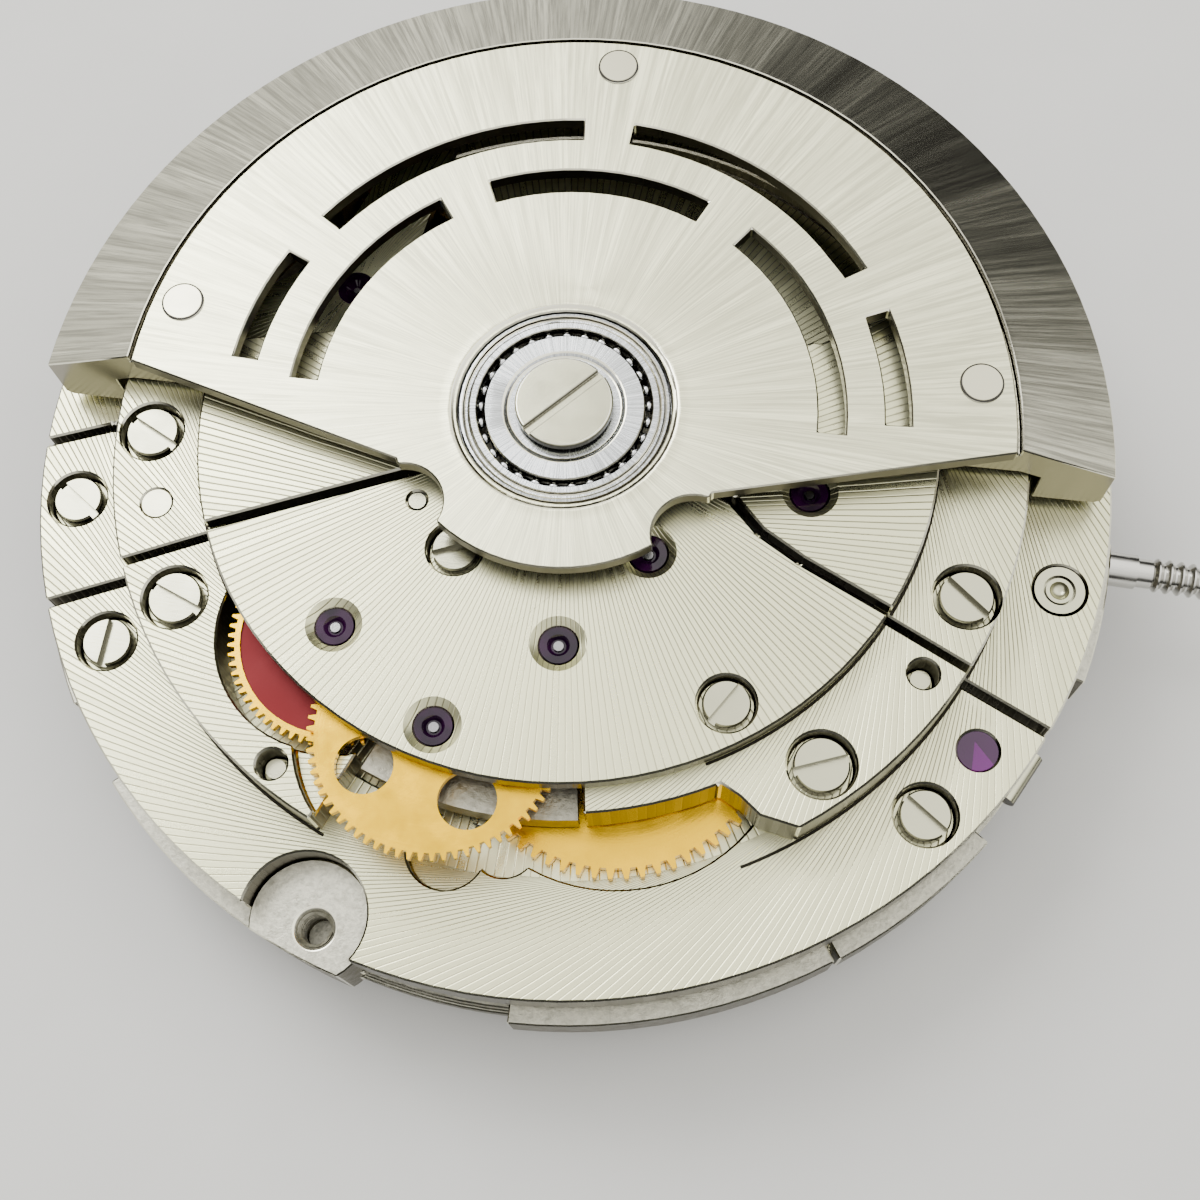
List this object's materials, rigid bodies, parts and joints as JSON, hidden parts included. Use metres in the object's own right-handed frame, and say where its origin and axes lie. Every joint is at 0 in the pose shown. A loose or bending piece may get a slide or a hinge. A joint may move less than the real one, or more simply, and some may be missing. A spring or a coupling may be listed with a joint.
{
  "type": "automatic watch movement",
  "caption": "Round automatic wristwatch movement: slotted ball-bearing rotor over striped bridges, gilt and red winding wheels, ruby jewels and a threaded winding stem.",
  "frame": {"origin": "centre of the movement on the plane the dial seats on", "axes": "+Z from the dial side to the rotor, +X out along the winding stem"},
  "size_m": [0.0314, 0.0284, 0.0078],
  "materials": {
    "plate_metal": "rhodium-plated, fine matt grain",
    "bridge_metal": "rhodium-plated with engraved fan stripes and bright edges",
    "rotor_metal": "rhodium-plated, radially brushed",
    "weight_metal": "tungsten alloy, radially brushed",
    "screw_steel": "flat polished",
    "bearing_steel": "polished",
    "gold_wheel": "gilt, circular grain",
    "red_disc": "red anodised, satin",
    "jewel": "polished synthetic ruby",
    "train_brass": "gilt, satin",
    "steel": "fine ground",
    "spring_steel": "polished strip",
    "date_enamel": "satin enamel"
  },
  "bodies": {
    "root": {"main_plate": "plate_metal", "calendar_plate": "plate_metal", "dial_foot_screws": "screw_steel", "pallet_bridge": "bridge_metal", "balance_bridge": "bridge_metal", "barrel_bridge": "bridge_metal", "left_bridge": "bridge_metal", "rear_bridge": "bridge_metal", "winding_bridge": "bridge_metal", "frame_left": "bridge_metal", "frame_lower_left": "bridge_metal", "frame_lower_right": "bridge_metal", "frame_right": "bridge_metal", "automatic_plate": "plate_metal", "automatic_bridge": "bridge_metal", "automatic_bridge_left": "bridge_metal", "automatic_bridge_right": "bridge_metal", "bridge_screws": "screw_steel", "locating_pins": "screw_steel", "jewels": "jewel", "bearing_inner_race": "bearing_steel", "bearing_balls": "bearing_steel", "rotor_screw": "screw_steel"},
    "rotor": {"rotor_hub": "bearing_steel", "rotor_plate": "rotor_metal", "rotor_weight": "weight_metal"},
    "driving_reverser": {"driving_reverser": "gold_wheel", "driving_disc": "red_disc"},
    "driven_reverser": {"driven_reverser": "gold_wheel", "driven_disc": "red_disc"},
    "driven_pinion": {"driven_pinion": "gold_wheel"},
    "idler_wheel": {"idler_wheel": "gold_wheel"},
    "reduction_wheel": {"reduction_wheel": "gold_wheel"},
    "ratchet_wheel": {"ratchet_wheel": "gold_wheel", "barrel_arbor": "steel"},
    "winding_wheel": {"winding_wheel": "gold_wheel"},
    "click": {"click": "steel"},
    "barrel": {"mainspring_barrel": "train_brass", "mainspring": "spring_steel"},
    "second_wheel": {"second_wheel": "train_brass"},
    "third_wheel": {"third_wheel": "train_brass"},
    "seconds_wheel": {"seconds_wheel": "train_brass"},
    "escape_wheel": {"escape_wheel": "steel"},
    "pallet_fork": {"pallet_fork": "steel"},
    "balance": {"balance_wheel": "train_brass", "hairspring": "spring_steel"},
    "cannon_pinion": {"cannon_pinion": "steel"},
    "minute_wheel": {"minute_wheel": "train_brass"},
    "hour_wheel": {"hour_wheel": "train_brass"},
    "setting_wheel": {"setting_wheel": "steel"},
    "date_wheel": {"date_wheel": "train_brass"},
    "date_ring": {"date_ring": "date_enamel"},
    "winding_pinion": {"winding_pinion": "steel"},
    "winding_stem": {"winding_stem": "steel"},
    "sliding_pinion": {"sliding_pinion": "steel"},
    "setting_lever": {"setting_lever": "steel"},
    "yoke": {"yoke": "steel"},
    "crown_wheel": {"crown_wheel": "steel"},
    "release_button": {"release_button": "screw_steel"}
  },
  "joints": [
    {"name": "rotor_spin", "type": "hinge", "parent": "root", "child": "rotor", "pos_m": [0, 0, 0], "axis": [0, 0, 1], "continuous": true},
    {"name": "driving_reverser_spin", "type": "hinge", "parent": "root", "child": "driving_reverser", "pos_m": [0.0009, -0.00577, 0], "axis": [0, 0, 1], "continuous": true},
    {"name": "driven_reverser_spin", "type": "hinge", "parent": "root", "child": "driven_reverser", "pos_m": [-0.00444, -0.0062, 0], "axis": [0, 0, 1], "continuous": true},
    {"name": "driven_pinion_spin", "type": "hinge", "parent": "root", "child": "driven_pinion", "pos_m": [-0.00444, -0.0062, 0], "axis": [0, 0, 1], "continuous": true},
    {"name": "idler_spin", "type": "hinge", "parent": "root", "child": "idler_wheel", "pos_m": [0.0026, -0.00312, 0], "axis": [0, 0, 1], "continuous": true},
    {"name": "reduction_spin", "type": "hinge", "parent": "root", "child": "reduction_wheel", "pos_m": [-0.00159, -0.00821, 0], "axis": [0, 0, 1], "continuous": true},
    {"name": "ratchet_spin", "type": "hinge", "parent": "root", "child": "ratchet_wheel", "pos_m": [0.00241, -0.00675, 0], "axis": [0, 0, 1], "continuous": true},
    {"name": "winding_wheel_spin", "type": "hinge", "parent": "root", "child": "winding_wheel", "pos_m": [0.00621, -0.00092, 0], "axis": [0, 0, 1], "continuous": true},
    {"name": "click_swing", "type": "hinge", "parent": "root", "child": "click", "pos_m": [0.00159, -0.00207, 0], "axis": [0, 0, 1], "range_deg": [0, 6], "stiffness_Nm_per_rad": 0.00002},
    {"name": "barrel_spin", "type": "hinge", "parent": "root", "child": "barrel", "pos_m": [0.00241, -0.00675, 0], "axis": [0, 0, 1], "continuous": true},
    {"name": "second_spin", "type": "hinge", "parent": "root", "child": "second_wheel", "pos_m": [-0.00158, -0.00364, 0], "axis": [0, 0, 1], "continuous": true},
    {"name": "third_spin", "type": "hinge", "parent": "root", "child": "third_wheel", "pos_m": [-0.00297, 0.00017, 0], "axis": [0, 0, 1], "continuous": true},
    {"name": "seconds_spin", "type": "hinge", "parent": "root", "child": "seconds_wheel", "pos_m": [0, 0, 0], "axis": [0, 0, 1], "continuous": true},
    {"name": "escape_spin", "type": "hinge", "parent": "root", "child": "escape_wheel", "pos_m": [0, 0.00273, 0], "axis": [0, 0, 1], "continuous": true},
    {"name": "pallet_swing", "type": "hinge", "parent": "root", "child": "pallet_fork", "pos_m": [-0.00217, 0.00308, 0], "axis": [0, 0, 1], "range_deg": [-5, 5]},
    {"name": "balance_swing", "type": "hinge", "parent": "root", "child": "balance", "pos_m": [-0.00658, 0.0038, 0], "axis": [0, 0, 1], "range_deg": [-280, 280], "stiffness_Nm_per_rad": 0.00000033},
    {"name": "cannon_spin", "type": "hinge", "parent": "root", "child": "cannon_pinion", "pos_m": [0, 0, 0], "axis": [0, 0, 1], "continuous": true},
    {"name": "minute_spin", "type": "hinge", "parent": "root", "child": "minute_wheel", "pos_m": [0.00046, -0.00236, 0], "axis": [0, 0, 1], "continuous": true},
    {"name": "hour_spin", "type": "hinge", "parent": "root", "child": "hour_wheel", "pos_m": [0, 0, 0], "axis": [0, 0, 1], "continuous": true},
    {"name": "setting_spin", "type": "hinge", "parent": "root", "child": "setting_wheel", "pos_m": [0.00444, -0.00139, 0], "axis": [0, 0, 1], "continuous": true},
    {"name": "date_wheel_spin", "type": "hinge", "parent": "root", "child": "date_wheel", "pos_m": [-0.00288, 0.00499, 0], "axis": [0, 0, 1], "continuous": true},
    {"name": "date_ring_spin", "type": "hinge", "parent": "root", "child": "date_ring", "pos_m": [0, 0, 0], "axis": [0, 0, 1], "continuous": true},
    {"name": "stem_turn", "type": "hinge", "parent": "root", "child": "winding_pinion", "pos_m": [0.0102, 0, 0.001], "axis": [1, 0, 0], "continuous": true},
    {"name": "stem_pull", "type": "slide", "parent": "winding_pinion", "child": "winding_stem", "axis": [1, 0, 0], "range_m": [0, 0.0009]},
    {"name": "clutch_slide", "type": "slide", "parent": "winding_pinion", "child": "sliding_pinion", "axis": [-1, 0, 0], "range_m": [0, 0.0007]},
    {"name": "lever_swing", "type": "hinge", "parent": "root", "child": "setting_lever", "pos_m": [0.01165, -0.0022, 0], "axis": [0, 0, 1], "range_deg": [-25, 0]},
    {"name": "yoke_swing", "type": "hinge", "parent": "root", "child": "yoke", "pos_m": [0.00875, -0.0024, 0], "axis": [0, 0, 1], "range_deg": [0, 18]},
    {"name": "crown_wheel_spin", "type": "hinge", "parent": "root", "child": "crown_wheel", "pos_m": [0.0083, 0.0019, 0], "axis": [0, 0, 1], "continuous": true},
    {"name": "button_press", "type": "slide", "parent": "root", "child": "release_button", "axis": [0, 0, -1], "range_m": [0, 0.00025], "stiffness_N_per_m": 400}
  ],
  "couplings": [
    {"joint": "driving_reverser_spin", "follows": "rotor_spin", "ratio": -1.1765},
    {"joint": "driven_reverser_spin", "follows": "rotor_spin", "ratio": 1.1765},
    {"joint": "idler_spin", "follows": "rotor_spin", "ratio": -3.4783},
    {"joint": "reduction_spin", "follows": "rotor_spin", "ratio": 0.20168},
    {"joint": "driven_pinion_spin", "follows": "rotor_spin", "ratio": -1.1765},
    {"joint": "ratchet_spin", "follows": "rotor_spin", "ratio": -0.022059},
    {"joint": "winding_wheel_spin", "follows": "rotor_spin", "ratio": 0.027149},
    {"joint": "barrel_spin", "follows": "seconds_spin", "ratio": -0.0025},
    {"joint": "second_spin", "follows": "seconds_spin", "ratio": 0.016667},
    {"joint": "third_spin", "follows": "seconds_spin", "ratio": -0.13333},
    {"joint": "escape_spin", "follows": "seconds_spin", "ratio": -12},
    {"joint": "minute_spin", "follows": "seconds_spin", "ratio": -0.0055556},
    {"joint": "cannon_spin", "follows": "seconds_spin", "ratio": 0.016667},
    {"joint": "hour_spin", "follows": "seconds_spin", "ratio": 0.0013889},
    {"joint": "date_wheel_spin", "follows": "seconds_spin", "ratio": -0.00069444},
    {"joint": "setting_spin", "follows": "seconds_spin", "ratio": 0.0043478},
    {"joint": "crown_wheel_spin", "follows": "stem_turn", "ratio": -0.28889},
    {"joint": "clutch_slide", "follows": "stem_pull", "ratio": 0.77778},
    {"joint": "lever_swing", "follows": "stem_pull", "rad_per_m": -454.55},
    {"joint": "yoke_swing", "follows": "stem_pull", "rad_per_m": 324.07}
  ]
}
